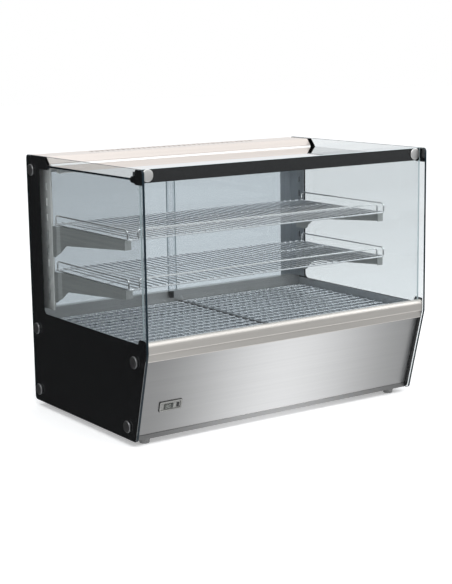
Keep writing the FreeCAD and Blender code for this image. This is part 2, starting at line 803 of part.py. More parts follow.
rocker_radius = 8.5
for name, x, z in switch_places:
    axis_y = panel_skin - 1.5
    frame_x = housing_half + 3
    frame_z = housing_rise + 3
    hollow_x = rocker_half + 0.3
    hollow_z = rocker_radius + 0.4
    frame = span((x - frame_x, panel_skin, z - frame_z), (x + frame_x, panel_skin + 2, z + frame_z))
    housing = span((x - housing_half, rear_panel_set - 18, z - housing_rise),
                   (x + housing_half, panel_skin + 1, z + housing_rise))
    cavity = rod(hollow_z, hollow_x * 2, (x - hollow_x, axis_y, z), "X")
    mouth = span((x - hollow_x, axis_y, z - hollow_z), (x + hollow_x, panel_skin + 6, z + hollow_z))
    node(f"switch_body_{name}", cut(fuse([frame, housing]), [cavity, mouth]))
    barrel = rod(rocker_radius, rocker_half * 2, (x - rocker_half, axis_y, z), "X")
    dish = rod(30, rocker_half * 2 + 2, (x - rocker_half - 1, axis_y + 34.5, z - 9), "X")
    node(f"rocker_{name}", cut(barrel, [dish]))

node("terminal_block", span((-300, 200, pan_floor + 0.2), (-240, 222, pan_floor + 20)))

element_z = number(tray_level) - 24
element_ends = 330
element_half = 360
rows = [-150, -50, 50, 150]
route = [(element_ends, rows[0], element_z)]
for side, first, second in ((-1, rows[0], rows[1]), (1, rows[1], rows[2]), (-1, rows[2], rows[3])):
    route += [(side * element_half, first, element_z), (side * element_half, second, element_z)]
route.append((element_ends, rows[3], element_z))
node("heating_element", shaped(bent_wire(route, 4, 45)))


# ---- sliding rear doors -------------------------------------------------------------------------
door_low = groove_floor + 4
door_high = track_web - 3
door_half = inner_half - 4
glide_length = 24
pull_low = sill_top + 5
pull_high = track_low - 5
pull_wall = 1.2
pull_play = 0.1
door_planes = (("left", -1, track_front + track_wall), ("right", 1, track_middle + track_wall))
for side_name, side, plane_y in door_planes:
    pane_front = plane_y + (groove - pane) / 2
    pane_rear = pane_front + pane
    low_x, high_x = across_x(side, -door_lap / 2, door_half)
    node(f"door_glass_{side_name}", span((low_x, pane_front, door_low), (high_x, pane_rear, door_high)))
    inner = door_half - pull_width
    edge = door_half + pull_play
    outer = edge + pull_wall
    near_face = pane_front - pull_play
    far_face = pane_rear + pull_play
    plan = [
        (inner, near_face - pull_wall), (outer, near_face - pull_wall),
        (outer, far_face + pull_wall), (inner, far_face + pull_wall),
        (inner, far_face), (edge, far_face), (edge, near_face), (inner, near_face),
    ]
    plan = [(side * x, y) for x, y in plan]
    node(f"door_pull_{side_name}", extrusion("XY_Plane", [plan], pull_high - pull_low, pull_low))
    glides = [
        span((low_x + offset, pane_front - 0.5, groove_floor + 0.3),
             (low_x + offset + glide_length, pane_rear + 0.5, door_low))
        for offset in (30, door_half + door_lap / 2 - 30 - glide_length)
    ]
    node(f"door_glides_{side_name}", group(glides))

# ---- check and export -----------------------------------------------------------------------------------
doc.recompute()
failed = [item.Label for item in doc.Objects if "Invalid" in item.State or "Error" in item.State]
if failed:
    raise RuntimeError(f"features failed: {failed}")
for feature in parts:
    shape = feature.Shape
    if shape.isNull() or not shape.isValid():
        raise RuntimeError(f"bad shape: {feature.Label}")
    shape.exportStep(f"parts/{feature.Label}.step")
print(len(parts), "nodes written")
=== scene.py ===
import math

import bmesh
import bpy
from mathutils import Matrix, Vector


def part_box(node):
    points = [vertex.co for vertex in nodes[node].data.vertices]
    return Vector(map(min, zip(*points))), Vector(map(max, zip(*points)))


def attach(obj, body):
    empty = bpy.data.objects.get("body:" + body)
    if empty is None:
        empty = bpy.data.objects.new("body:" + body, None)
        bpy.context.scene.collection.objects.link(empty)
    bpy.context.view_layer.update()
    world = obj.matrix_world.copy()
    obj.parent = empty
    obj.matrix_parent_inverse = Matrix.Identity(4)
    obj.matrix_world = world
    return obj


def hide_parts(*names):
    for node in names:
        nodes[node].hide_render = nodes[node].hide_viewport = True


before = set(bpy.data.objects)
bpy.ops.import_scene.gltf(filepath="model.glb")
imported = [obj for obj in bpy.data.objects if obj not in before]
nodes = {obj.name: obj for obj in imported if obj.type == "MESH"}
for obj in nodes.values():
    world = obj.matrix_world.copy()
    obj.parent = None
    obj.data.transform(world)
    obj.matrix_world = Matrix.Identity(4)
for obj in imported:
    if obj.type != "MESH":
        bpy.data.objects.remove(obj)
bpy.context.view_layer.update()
SIDES = (("left", -1), ("right", 1))

# The case stands in metres with X across its front, +Y to its rear doors and +Z up.
glass_low, glass_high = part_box("side_glass_right")
half_width = glass_high.x
inner_half = glass_low.x
rear_edge = glass_high.y
front_edge = glass_low.y
floor_gap = glass_low.z
top_edge = glass_high.z
arris = 0.0004
fine_edge = 0.0002
tiny_edge = 0.0001
ARC_STEPS = 8
CIRCLE_STEPS = 32
SHARP_ANGLE = math.radians(32)


# ---- node trees ----------------------------------------------------------------------------------
NOISE_LOW = 0.3
NOISE_HIGH = 0.7


class Finish:
    """A material around one Principled shader, with short calls for the nodes that feed it."""

    def __init__(self, name, colour, roughness=0.5, metallic=0.0, **sockets):
        self.material = bpy.data.materials.new(name)
        self.material.use_nodes = True
        self.tree = self.material.node_tree
        self.surface = self.tree.nodes["Principled BSDF"]
        self.output = self.tree.nodes["Material Output"]
        self.colour = colour
        self.surface.inputs["Base Color"].default_value = (*colour, 1)
        self.surface.inputs["Roughness"].default_value = roughness
        self.surface.inputs["Metallic"].default_value = metallic
        for socket, value in sockets.items():
            self.surface.inputs[socket.replace("_", " ")].default_value = value

    def node(self, kind, **settings):
        made = self.tree.nodes.new("ShaderNode" + kind)
        for key, value in settings.items():
            setattr(made, key, value)
        return made

    def link(self, source, target):
        self.tree.links.new(source, target)

    def place(self, scale):
        """Object position, stretched by a scale on each axis."""
        where = self.node("TexCoord")
        mapping = self.node("Mapping")
        mapping.inputs["Scale"].default_value = scale
        self.link(where.outputs["Object"], mapping.inputs["Vector"])
        return mapping.outputs["Vector"]

    def noise(self, scale, detail=2.0):
        made = self.node("TexNoise")
        made.inputs["Scale"].default_value = 1.0
        made.inputs["Detail"].default_value = detail
        self.link(self.place(scale), made.inputs["Vector"])
        return made.outputs["Fac"]

    def spread(self, source, low, high):
        """Map a noise's usual range to low..high."""
        made = self.node("MapRange")
        made.inputs["From Min"].default_value = NOISE_LOW
        made.inputs["From Max"].default_value = NOISE_HIGH
        made.inputs["To Min"].default_value = low
        made.inputs["To Max"].default_value = high
        self.link(source, made.inputs["Value"])
        return made.outputs["Result"]

    def tinted(self, source, dark, light):
        """Base colour that goes between two shades of the finish's own colour."""
        made = self.node("Mix", data_type="RGBA")
        made.inputs["A"].default_value = (*[part * dark for part in self.colour], 1)
        made.inputs["B"].default_value = (*[part * light for part in self.colour], 1)
        self.link(source, made.inputs["Factor"])
        self.link(made.outputs["Result"], self.surface.inputs["Base Color"])

    def rough(self, source, low, high):
        self.link(self.spread(source, low, high), self.surface.inputs["Roughness"])

    def bump(self, source, depth):
        made = self.node("Bump")
        made.inputs["Distance"].default_value = depth
        self.link(source, made.inputs["Height"])
        self.link(made.outputs["Normal"], self.surface.inputs["Normal"])


# ---- materials -----------------------------------------------------------------------------------
def brushed(name, colour, roughness, along, depth=0.00002, shade=0.06, metallic=1.0):
    """Sheet metal with a fine brushed grain along one axis and faint broader streaks."""
    made = Finish(name, colour, roughness, metallic=metallic)
    grain_scale = [2400.0, 2400.0, 2400.0]
    streak_scale = [160.0, 160.0, 160.0]
    index = "XYZ".index(along)
    grain_scale[index] = 14.0
    streak_scale[index] = 1.5
    grain = made.noise(grain_scale, detail=3.0)
    streak = made.noise(streak_scale, detail=2.0)
    made.tinted(made.spread(streak, 0, 1), 1 - shade, 1 + shade)
    made.rough(grain, roughness - 0.04, roughness + 0.05)
    made.bump(grain, depth)
    return made


def front_sheet_painted_reflection():
    """The front panel's brushed steel with a painted reflection: a ramp across X darkens its colour towards
    both ends and leaves a broad light band, where the steel reflects light.
    """
    made = brushed("brushed_front_painted_reflection", (0.84, 0.835, 0.83), 0.36, "X", depth=0.00001, shade=0.02)
    where = made.node("TexCoord")
    parts = made.node("SeparateXYZ")
    made.link(where.outputs["Object"], parts.inputs["Vector"])
    ramp = made.node("ValToRGB")
    ramp.color_ramp.interpolation = "EASE"
    ramp.color_ramp.elements.new(0.5)
    # Painted reflection: ramp levels, darker at both ends and full in the broad light band between.
    painted_shade_left, painted_highlight_band, painted_shade_right = 0.35, 1.0, 0.42
    for stop, level in zip(ramp.color_ramp.elements, (painted_shade_left, painted_highlight_band, painted_shade_right)):
        stop.color = (level, level, level, 1)
    span = made.node("MapRange")
    span.inputs["From Min"].default_value = -inner_half
    span.inputs["From Max"].default_value = inner_half
    made.link(parts.outputs["X"], span.inputs["Value"])
    made.link(span.outputs["Result"], ramp.inputs["Fac"])
    base = made.surface.inputs["Base Color"].links[0].from_socket
    mix = made.node("Mix", data_type="RGBA", blend_type="MULTIPLY")
    mix.inputs["Factor"].default_value = 1.0
    made.link(base, mix.inputs["A"])
    made.link(ramp.outputs["Color"], mix.inputs["B"])
    made.link(mix.outputs["Result"], made.surface.inputs["Base Color"])
    return made


GLASS_IOR = 1.45
BOTH_FACES = 1.7


def clear_glass(name, tint, gloss):
    """A thin pane: what is behind shows through tinted, with a mirror gloss that grows at a slant.

    Only the side that faces the ray mirrors, with the strength of both faces of a real pane.
    """
    made = Finish(name, tint)
    made.tree.nodes.remove(made.surface)
    through = made.node("BsdfTransparent")
    through.inputs["Color"].default_value = (*tint, 1)
    mirror = made.node("BsdfGlossy")
    mirror.inputs["Roughness"].default_value = 0.02
    mirror.inputs["Color"].default_value = (*gloss, 1)
    slant = made.node("Fresnel")
    slant.inputs["IOR"].default_value = GLASS_IOR
    faces = made.node("NewGeometry")
    outside = made.node("Math", operation="SUBTRACT")
    outside.inputs[0].default_value = 1.0
    made.link(faces.outputs["Backfacing"], outside.inputs[1])
    both = made.node("Math", operation="MULTIPLY")
    made.link(slant.outputs["Fac"], both.inputs[0])
    made.link(outside.outputs["Value"], both.inputs[1])
    twice = made.node("Math", operation="MULTIPLY", use_clamp=True)
    twice.inputs[1].default_value = BOTH_FACES
    made.link(both.outputs["Value"], twice.inputs[0])
    mix = made.node("MixShader")
    made.link(twice.outputs["Value"], mix.inputs["Fac"])
    made.link(through.outputs["BSDF"], mix.inputs[1])
    made.link(mirror.outputs["BSDF"], mix.inputs[2])
    made.link(mix.outputs["Shader"], made.output.inputs["Surface"])
    return made


def chrome(name, colour, roughness):
    """Plated wire, with slight unevenness in the plating."""
    made = Finish(name, colour, roughness, metallic=1.0)
    haze = made.noise((180, 180, 180), detail=3.0)
    made.rough(haze, roughness - 0.05, roughness + 0.08)
    made.bump(haze, 0.00003)
    return made


def plastic(name, colour, roughness, grain=900.0):
    """Moulded plastic with a fine spark-eroded grain."""
    made = Finish(name, colour, roughness)
    texture = made.noise((grain, grain, grain), detail=2.0)
    made.tinted(made.spread(texture, 0, 1), 0.93, 1.07)
    made.rough(texture, roughness - 0.05, roughness + 0.07)
    made.bump(texture, 0.00003)
    return made


def enamel():
    """Black ceramic print fired on the glass."""
    made = Finish("enamel_black", (0.0055, 0.0055, 0.006), 0.22, Coat_Weight=0.3, Coat_Roughness=0.06)
    fine = made.noise((1400, 1400, 1400), detail=2.0)
    made.rough(fine, 0.18, 0.28)
    return made


steel = brushed("stainless_brushed", (0.66, 0.655, 0.64), 0.3, "X", shade=0.03).material
steel_light = brushed("stainless_canopy", (0.84, 0.77, 0.72), 0.36, "X", shade=0.02).material
# Painted light: the two uprights are one steel, as a paler lit copy on the left and a darker shaded copy on
# the right.
upright_lit_painted = brushed("upright_lit_painted", (0.8, 0.79, 0.77), 0.38, "Z", metallic=0.1).material
upright_shaded_painted = brushed("upright_shaded_painted", (0.4, 0.43, 0.46), 0.34, "Z", metallic=0.7).material
tray_steel = brushed("stainless_tray", (0.46, 0.48, 0.5), 0.34, "X", metallic=0.85).material
bumper_steel = brushed("stainless_bumper", (0.72, 0.69, 0.65), 0.42, "X", shade=0.03).material
bracket_steel = brushed("bracket_metal", (0.5, 0.51, 0.5), 0.4, "Y", metallic=0.5).material
zinc = plastic("zinc_plated", (0.5, 0.5, 0.49), 0.38).material
# The front panel and the base pan share this steel, with its painted reflection across X.
front_steel_painted_reflection = front_sheet_painted_reflection().material
wire = chrome("chrome_wire", (0.96, 0.965, 0.98), 0.14).material
deck_wire = chrome("chrome_deck", (0.8, 0.815, 0.84), 0.26).material
guard_wire = chrome("chrome_guard", (0.99, 0.99, 0.99), 0.2).material
seal_white = plastic("silicone_white", (0.9, 0.9, 0.89), 0.4).material
# Painted shade: a near-black sheet set where there is only shade, under the tray's slots and behind the
# canopy's vents.
shade_sheet = plastic("painted_shade_black", (0.03, 0.03, 0.032), 0.6).material
cap_metal = brushed("cap_satin", (0.78, 0.775, 0.76), 0.36, "Z").material
# Painted shade: the side caps are the front caps' satin metal, darkened for their unlit side.
cap_painted_shade = brushed("cap_satin_painted_shade", (0.34, 0.34, 0.345), 0.36, "Z").material
aluminium = brushed("aluminium_satin", (0.66, 0.67, 0.68), 0.34, "X").material
black = plastic("black_moulded", (0.012, 0.012, 0.013), 0.38).material
grey = plastic("grey_moulded", (0.42, 0.42, 0.41), 0.4).material
bezel = plastic("bezel_silver", (0.22, 0.22, 0.21), 0.26).material
nylon = plastic("white_nylon", (0.74, 0.74, 0.7), 0.45).material
lamp = plastic("lamp_diffuser", (0.85, 0.85, 0.82), 0.5, 300.0).material
segment_grey = plastic("display_segment", (0.3, 0.31, 0.29), 0.4).material
display = plastic("display_dark", (0.03, 0.034, 0.03), 0.15).material
green_lens = plastic("rocker_green", (0.02, 0.3, 0.06), 0.25).material
red_lens = plastic("rocker_red", (0.45, 0.02, 0.015), 0.25).material
sheath = brushed("heater_sheath", (0.28, 0.25, 0.22), 0.5, "X").material
rubber = plastic("foot_rubber", (0.21, 0.21, 0.21), 0.6, 500.0).material
glass_side = clear_glass("glass_side", (0.865, 0.88, 0.885), (0.9, 0.92, 0.93)).material
glass_front = clear_glass("glass_front", (0.925, 0.94, 0.945), (0.9, 0.92, 0.93)).material
glass_top = clear_glass("glass_top", (0.93, 0.94, 0.94), (0.93, 0.93, 0.93)).material
glass_door = clear_glass("glass_door", (0.745, 0.775, 0.795), (0.85, 0.88, 0.9)).material
glass_lap = clear_glass("glass_door_lap", (0.85, 0.868, 0.88), (0.7, 0.72, 0.74)).material


def cut_glass(name, colour, roughness):
    """The ground and polished edge of a pane, with the faint lengthwise lines of the wheel."""
    made = Finish(name, colour, roughness, Specular_IOR_Level=0.3)
    ground_lines = made.noise((900, 900, 12), detail=2.0)
    made.tinted(made.spread(ground_lines, 0, 1), 0.85, 1.15)
    made.rough(ground_lines, roughness - 0.05, roughness + 0.1)
    return made.material


edge_dark = cut_glass("glass_edge", (0.004, 0.012, 0.018), 0.25)
edge_pale = cut_glass("glass_edge_pale", (0.52, 0.6, 0.62), 0.3)
black_print = enamel().material

finish_by_slot = {
    "stainless": steel, "bumper_steel": bumper_steel, "bracket_steel": bracket_steel, "zinc_steel": zinc,
    "chrome_wire": wire, "aluminium_trim": aluminium, "cap_metal": cap_metal, "black_plastic": black,
    "grey_plastic": grey, "white_nylon": nylon, "lamp_white": lamp, "display_window": display,
    "rocker_green": green_lens, "rocker_red": red_lens, "heater_sheath": sheath, "foot_rubber": rubber,
    "clear_glass": glass_side,
}
finish_by_node = {
    "front_panel": front_steel_painted_reflection, "base_pan": front_steel_painted_reflection, "canopy_cover": steel_light,
    "upright_left": upright_lit_painted, "upright_right": upright_shaded_painted, "deck_tray": tray_steel,
    "upper_shelf_guard": guard_wire, "lower_shelf_guard": guard_wire,
    "deck_grid_left": deck_wire, "deck_grid_right": deck_wire,
}
for name, obj in nodes.items():
    for index, slot in enumerate(obj.material_slots):
        packed = slot.material.name.split(".")[0] if slot.material else ""
        finish = finish_by_node.get(name) or finish_by_slot.get(packed)
        if finish is None:
            print("no finish for", name, packed)
        else:
            slot.material = finish


# ---- flat outlines -------------------------------------------------------------------------------
def rounded(corners):
    """Points of a closed outline, from corners given as (u, v, radius)."""
    points = []
    count = len(corners)
    for index, (u, v, radius) in enumerate(corners):
        here = Vector((u, v))
        before = Vector(corners[index - 1][:2])
        after = Vector(corners[(index + 1) % count][:2])
        inward = (here - before).normalized()
        outward = (after - here).normalized()
        turn = inward.angle_signed(outward, 0.0)
        if radius <= 0 or abs(turn) < 1e-4:
            points.append(here)
            continue
        reach = radius * math.tan(abs(turn) / 2)
        start = here - inward * reach
        left = Vector((-inward.y, inward.x)) * (-1 if turn > 0 else 1)
        centre = start + left * radius
        for step in range(ARC_STEPS + 1):
            swing = Matrix.Rotation(-turn * step / ARC_STEPS, 2)
            points.append(centre + swing @ (start - centre))
    return points


def shrunk(points, distance):
    """The outline moved inwards by a distance, whichever way round it runs."""
    area = sum(a.x * b.y - b.x * a.y for a, b in zip(points, points[1:] + points[:1]))
    way = 1 if area > 0 else -1
    moved = []
    for index, here in enumerate(points):
        before = (here - points[index - 1]).normalized()
        after = (points[(index + 1) % len(points)] - here).normalized()
        normal = Vector((-before.y - after.y, before.x + after.x)) * way
        scale = distance / max(0.3, normal.length_squared / 2)
        moved.append(here + normal * scale)
    return moved


AXES = {
    "X": lambda u, v, w: (w, u, v),
    "Y": lambda u, v, w: (u, w, v),
    "Z": lambda u, v, w: (u, v, w),
}


def show(name, mesh, materials, body, replaced=(), smooth=False):
    """Finish a mesh as a piece that rides on a body."""
    for item in materials:
        mesh.materials.append(item)
    for polygon in mesh.polygons:
        polygon.use_smooth = smooth
    piece = bpy.data.objects.new(name, mesh)
    bpy.context.scene.collection.objects.link(piece)
    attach(piece, body)
    if replaced:
        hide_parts(*replaced)


def mesh_of(bm, name):
    """The mesh of finished geometry, with every face turned outwards."""
    bmesh.ops.recalc_face_normals(bm, faces=bm.faces)
    mesh = bpy.data.meshes.new(name)
    bm.to_mesh(mesh)
    bm.free()
    return mesh


def plate_mesh(name, outer, holes, axis, low, high, chamfer):
    """A flat plate with holes and a fine chamfer on every edge; its rim faces take material 1."""
    bm = bmesh.new()
    to_space = AXES[axis]
    levels = [(low, chamfer), (low + chamfer, 0), (high - chamfer, 0), (high, chamfer)]
    caps = {0: [], len(levels) - 1: []}
    for loop, inset_way in [(outer, 1)] + [(hole, -1) for hole in holes]:
        rings = []
        for level, inset in levels:
            points = shrunk(loop, inset * inset_way) if inset else loop
            rings.append([bm.verts.new(to_space(point.x, point.y, level)) for point in points])
        for lower, upper in zip(rings, rings[1:]):
            for a, b, c, d in zip(lower, lower[1:] + lower[:1], upper[1:] + upper[:1], upper):
                bm.faces.new((a, b, c, d)).material_index = 1
        for level in caps:
            ring = rings[level]
            caps[level] += [bm.edges.get((a, b)) for a, b in zip(ring, ring[1:] + ring[:1])]
    for edges in caps.values():
        bmesh.ops.triangle_fill(bm, edges=edges, use_beauty=True)
    return mesh_of(bm, name)


def circle(u, v, radius):
    """Points of a circle."""
    turns = [math.tau * step / CIRCLE_STEPS for step in range(CIRCLE_STEPS)]
    return [Vector((u + radius * math.cos(turn), v + radius * math.sin(turn))) for turn in turns]


# ---- glass panes ---------------------------------------------------------------------------------
bend_height = 0.238
toe_y = front_edge + 0.058
corner_round = 0.010
bend_round = 0.025
side_loop = rounded([
    (rear_edge, floor_gap, corner_round), (rear_edge, top_edge, corner_round),
    (front_edge, top_edge, corner_round), (front_edge, bend_height, bend_round),
    (toe_y, floor_gap, corner_round),
])
rear_cap_y = rear_edge - 0.024
middle_cap_z = bend_height - 0.026
low_cap_z = floor_gap + 0.031
cap_places = [
    (rear_cap_y, top_edge - 0.039), (rear_cap_y, middle_cap_z), (rear_cap_y, low_cap_z),
    (front_edge + 0.059, middle_cap_z), (toe_y + 0.041, low_cap_z),
]
stud_hole = 0.0045

for side_name, side in SIDES:
    low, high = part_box(f"side_glass_{side_name}")
    holes = [circle(y, z, stud_hole) for y, z in cap_places]
    mesh = plate_mesh(f"pane_side_{side_name}", side_loop, holes, "X", low.x, high.x, arris)
    show(f"pane_side_{side_name}", mesh, [glass_side, edge_dark], "case",
         [f"side_glass_{side_name}"])

front_low, front_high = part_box("front_glass")
hidden_round = 0.001
front_round = 0.002
door_round = 0.003


def pane_loop(low, high, low_round, high_round):
    """A rectangle in X and Z, with one rounding for its lower and one for its upper corners."""
    return rounded([
        (low.x, low.z, low_round), (high.x, low.z, low_round),
        (high.x, high.z, high_round), (low.x, high.z, high_round),
    ])


front_loop = pane_loop(front_low, front_high, hidden_round, front_round)
front_cap_low, front_cap_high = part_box("front_caps")
cap_round = (front_cap_high.z - front_cap_low.z) / 2
front_cap_x = front_cap_high.x - cap_round
front_cap_z = (front_cap_high.z + front_cap_low.z) / 2
holes = [circle(side * front_cap_x, front_cap_z, stud_hole) for _, side in SIDES]
mesh = plate_mesh("pane_front", front_loop, holes, "Y", front_low.y, front_high.y, arris)
show("pane_front", mesh, [glass_front, edge_pale], "case", ["front_glass"])

top_low, top_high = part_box("top_glass")
top_loop = rounded([
    (top_low.x, top_low.y, hidden_round), (top_high.x, top_low.y, hidden_round),
    (top_high.x, top_high.y, hidden_round), (top_low.x, top_high.y, hidden_round),
])
mesh = plate_mesh("pane_top", top_loop, [], "Z", top_low.z, top_high.z, arris)
show("pane_top", mesh, [glass_top, edge_dark], "case", ["top_glass"])

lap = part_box("door_glass_left")[1].x


def lap_strip(mesh, side):
    """Give the strip where the two closed doors overlap the lighter glass, material 2."""
    bm = bmesh.new()
    bm.from_mesh(mesh)
    geometry = bm.verts[:] + bm.edges[:] + bm.faces[:]
    bmesh.ops.bisect_plane(bm, geom=geometry, plane_co=(side * lap, 0, 0), plane_no=(1, 0, 0))
    for face in bm.faces:
        if face.material_index == 0 and side * face.calc_center_median().x < lap:
            face.material_index = 2
    bm.to_mesh(mesh)
    bm.free()


for side_name, side in SIDES:
    low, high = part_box(f"door_glass_{side_name}")
    loop = pane_loop(low, high, door_round, door_round)
    mesh = plate_mesh(f"pane_door_{side_name}", loop, [], "Y", low.y, high.y, arris)
    lap_strip(mesh, side)
    show(f"pane_door_{side_name}", mesh, [glass_door, edge_pale, glass_lap],
         f"door_{side_name}", [f"door_glass_{side_name}"])

# ---- black enamel print, at the depth where it shows through the glass ---------------------------
film = 0.0002
film_depth = 0.0027
margin = 0.0015
print_rear = rear_edge - margin
print_low = floor_gap + margin
print_high = top_edge - margin
clear_front = 0.007
strip_front = 0.223
lower_top = 0.258
tab_top = 0.271
tab_round = 0.003
patch_low = 0.637
patch_nose = 0.175
patch_nose_z = 0.648
patch_round = 0.002
enamel_side = rounded([
    (print_rear, print_low, corner_round),
    (print_rear, print_high, corner_round),
    (patch_nose + 0.019, print_high, patch_round / 2),
    (patch_nose, patch_nose_z, patch_round),
    (patch_nose + 0.002, patch_low, patch_round),
    (strip_front, patch_low, 0.008),
    (strip_front, lower_top, 0.015),
    (front_edge + 0.043, lower_top, tab_round),
    (front_edge + 0.035, tab_top, tab_round),
    (front_edge + clear_front, tab_top, tab_round),
    (front_edge + clear_front, bend_height, bend_round),
    (toe_y + clear_front, print_low, corner_round),
])

# The patch at the top front corner, with an ear that points to the rear over the corner bracket.
corner_low = 0.634
corner_rear = front_edge + 0.037
ear_middle = 0.645
ear_half = 0.007
ear_tip = front_edge + 0.059
ear_round = 0.004
enamel_corner = rounded([
    (front_edge + margin, corner_low, tab_round),
    (corner_rear, corner_low, tab_round),
    (corner_rear + 0.004, ear_middle - ear_half, 0.002),
    (ear_tip - 0.003, ear_middle - ear_half, ear_round),
    (ear_tip, ear_middle, ear_round),
    (ear_tip - 0.003, ear_middle + ear_half, ear_round),
    (corner_rear, ear_middle + 0.011, tab_round),
    (corner_rear, print_high, 0.006),
    (front_edge + margin, print_high, corner_round),
])
for side_name, side in SIDES:
    film_outer = half_width - film_depth
    reach = sorted((side * film_outer, side * (film_outer - film)))
    for part, loop in (("side", enamel_side), ("corner", enamel_corner)):
        name = f"enamel_{part}_{side_name}"
        mesh = plate_mesh(name, loop, [], "X", reach[0], reach[1], film / 8)
        show(name, mesh, [black_print, black_print], "case")

band_low = 0.638
band_high = front_high.z - 0.001
band_round = 0.0005
band_loop = rounded([
    (front_low.x + film, band_low, band_round), (front_high.x - film, band_low, band_round),
    (front_high.x - film, band_high, band_round), (front_low.x + film, band_high, band_round),
])
band_y = front_low.y + film_depth
mesh = plate_mesh("enamel_front", band_loop, [], "Y", band_y, band_y + film / 2, film / 16)
show("enamel_front", mesh, [black_print, black_print], "case")


# ---- turned caps over the glass fixings ----------------------------------------------------------
def turned(bm, profile, at, outward, steps=48, outline=None):
    """Sweep (radius, height) pairs around an axis that points outward from a place.

    An outline scales the radius of each ring by the ring's number and the angle.
    """
    outline = outline or (lambda ring, angle: 1.0)
    turn = Vector((0, 0, 1)).rotation_difference(Vector(outward)).to_matrix()
    rings = []
    for index, (radius, height) in enumerate(profile):
        if radius < 1e-6:
            rings.append([bm.verts.new(Vector(at) + turn @ Vector((0, 0, height)))])
            continue
        ring = []
        for angle in [math.tau * step / steps for step in range(steps)]:
            reach = radius * outline(index, angle)
            spoke = Vector((reach * math.cos(angle), reach * math.sin(angle), height))
            ring.append(bm.verts.new(Vector(at) + turn @ spoke))
        rings.append(ring)
    for lower, upper in zip(rings, rings[1:]):
        for step in range(steps):
            after = (step + 1) % steps
            if len(lower) == 1:
                bm.faces.new((lower[0], upper[after], upper[step]))
            elif len(upper) == 1:
                bm.faces.new((lower[step], lower[after], upper[0]))
            else:
                bm.faces.new((lower[step], lower[after], upper[after], upper[step]))


cap_rise = 0.003


def cap_profile():
    """A stud, and a disc with a rolled rim and a slightly crowned face."""
    rim = 0.0011
    stud = 0.004
    stud_long = 0.007
    crown = 0.0004
    profile = [(0.0, -stud_long), (stud, -stud_long), (stud, 0.0)]
    profile += [(cap_round - crown, 0.0), (cap_round, crown)]
    rim_centre = cap_rise - crown - rim
    for angle in [math.pi / 8 * step for step in range(5)]:
        profile.append((cap_round - rim + rim * math.cos(angle), rim_centre + rim * math.sin(angle)))
    profile += [(cap_round * 0.8, cap_rise - 0.00025), (cap_round * 0.45, cap_rise - 0.0001)]
    profile.append((0.0, cap_rise))
    return profile


def caps(name, places, finish, replaced):
    """One piece for all the caps of a pane."""
    bm = bmesh.new()
    for at, outward in places:
        turned(bm, cap_profile(), at, outward)
    show(name, mesh_of(bm, name), [finish], "case", replaced, smooth=True)


for side_name, side in SIDES:
    # The side caps take the darkened copy of the cap metal, a painted shade.
    places = [((side * half_width, y, z), (side, 0, 0)) for y, z in cap_places]
    caps(f"caps_side_{side_name}", places, cap_painted_shade, [f"side_caps_{side_name}"])
places = [((side * front_cap_x, front_low.y, front_cap_z), (0, -1, 0)) for _, side in SIDES]
caps("caps_front", places, cap_metal, ["front_caps"])


def hexagon(angle):
    """How far out a hexagon of unit half-width reaches, at an angle."""
    return 1 / math.cos((angle % (math.pi / 3)) - math.pi / 6)


def turned_piece(name, profile, places, finish, body, replaced, outline=None, steps=48):
    """One piece turned from a profile, at one or more places; an outline bends the chosen rings."""
    bm = bmesh.new()
    for at, outward in places:
        turned(bm, profile, at, outward, steps, outline)
    mesh = mesh_of(bm, name)
    mesh.set_sharp_from_angle(angle=SHARP_ANGLE)
    show(name, mesh, [finish], body, replaced, smooth=True)


def rounded_block(bm, width, height, low, high, corner, bevel, at=(0, 0)):
    """A block with rounded corners in X and Z and a bevelled front edge at its low Y."""
    u, v = at
    loop = rounded([
        (u - width / 2, v - height / 2, corner), (u + width / 2, v - height / 2, corner),
        (u + width / 2, v + height / 2, corner), (u - width / 2, v + height / 2, corner),
    ])
    rings = []
    for level, inset in ((high, 0), (low + bevel, 0), (low + bevel * 0.3, bevel * 0.3), (low, bevel)):
        points = shrunk(loop, inset) if inset else loop
        rings.append([bm.verts.new((point.x, level, point.y)) for point in points])
    for lower, upper in zip(rings, rings[1:]):
        for quad in zip(lower, lower[1:] + lower[:1], upper[1:] + upper[:1], upper):
            bm.faces.new(quad)
    bm.faces.new(rings[0])
    bm.faces.new(rings[-1])


def rounded_frame(bm, outer, inner, low, high, corner, bevel):
    """A rounded rectangular frame in X and Z, each size as (width, height), bevelled at its low Y."""
    outside, inside = (
        rounded([
            (-width / 2, -height / 2, radius), (width / 2, -height / 2, radius),
            (width / 2, height / 2, radius), (-width / 2, height / 2, radius),
        ])
        for (width, height), radius in ((outer, corner), (inner, corner * 0.5))
    )
    rings = [
        (outside, 0, high), (outside, 0, low + bevel), (outside, bevel, low),
        (inside, -bevel, low), (inside, 0, low + bevel), (inside, 0, high),
    ]
    made = []
    for loop, inset, level in rings:
        points = shrunk(loop, inset) if inset else loop
        made.append([bm.verts.new((point.x, level, point.y)) for point in points])
    for lower, upper in zip(made, made[1:] + made[:1]):
        for quad in zip(lower, lower[1:] + lower[:1], upper[1:] + upper[:1], upper):
            bm.faces.new(quad)


# ---- thermometer: frame, recessed face, display and button ---------------------------------------
gauge_low, gauge_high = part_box("thermometer_body")
display_low, display_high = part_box("thermometer_window")
gauge_x = (gauge_low.x + gauge_high.x) / 2
display_at = Vector((gauge_x, (display_low.y + display_high.y) / 2, (display_low.z + display_high.z) / 2))
lean_run = 0.053
lean_rise = 0.2012
lean_turn = Matrix.Rotation(math.atan2(lean_run, lean_rise), 4, "X")
gauge_lift = Vector((0, 0.0024, 0))
gauge_frame = Matrix.Translation(display_at + lean_turn @ gauge_lift) @ lean_turn

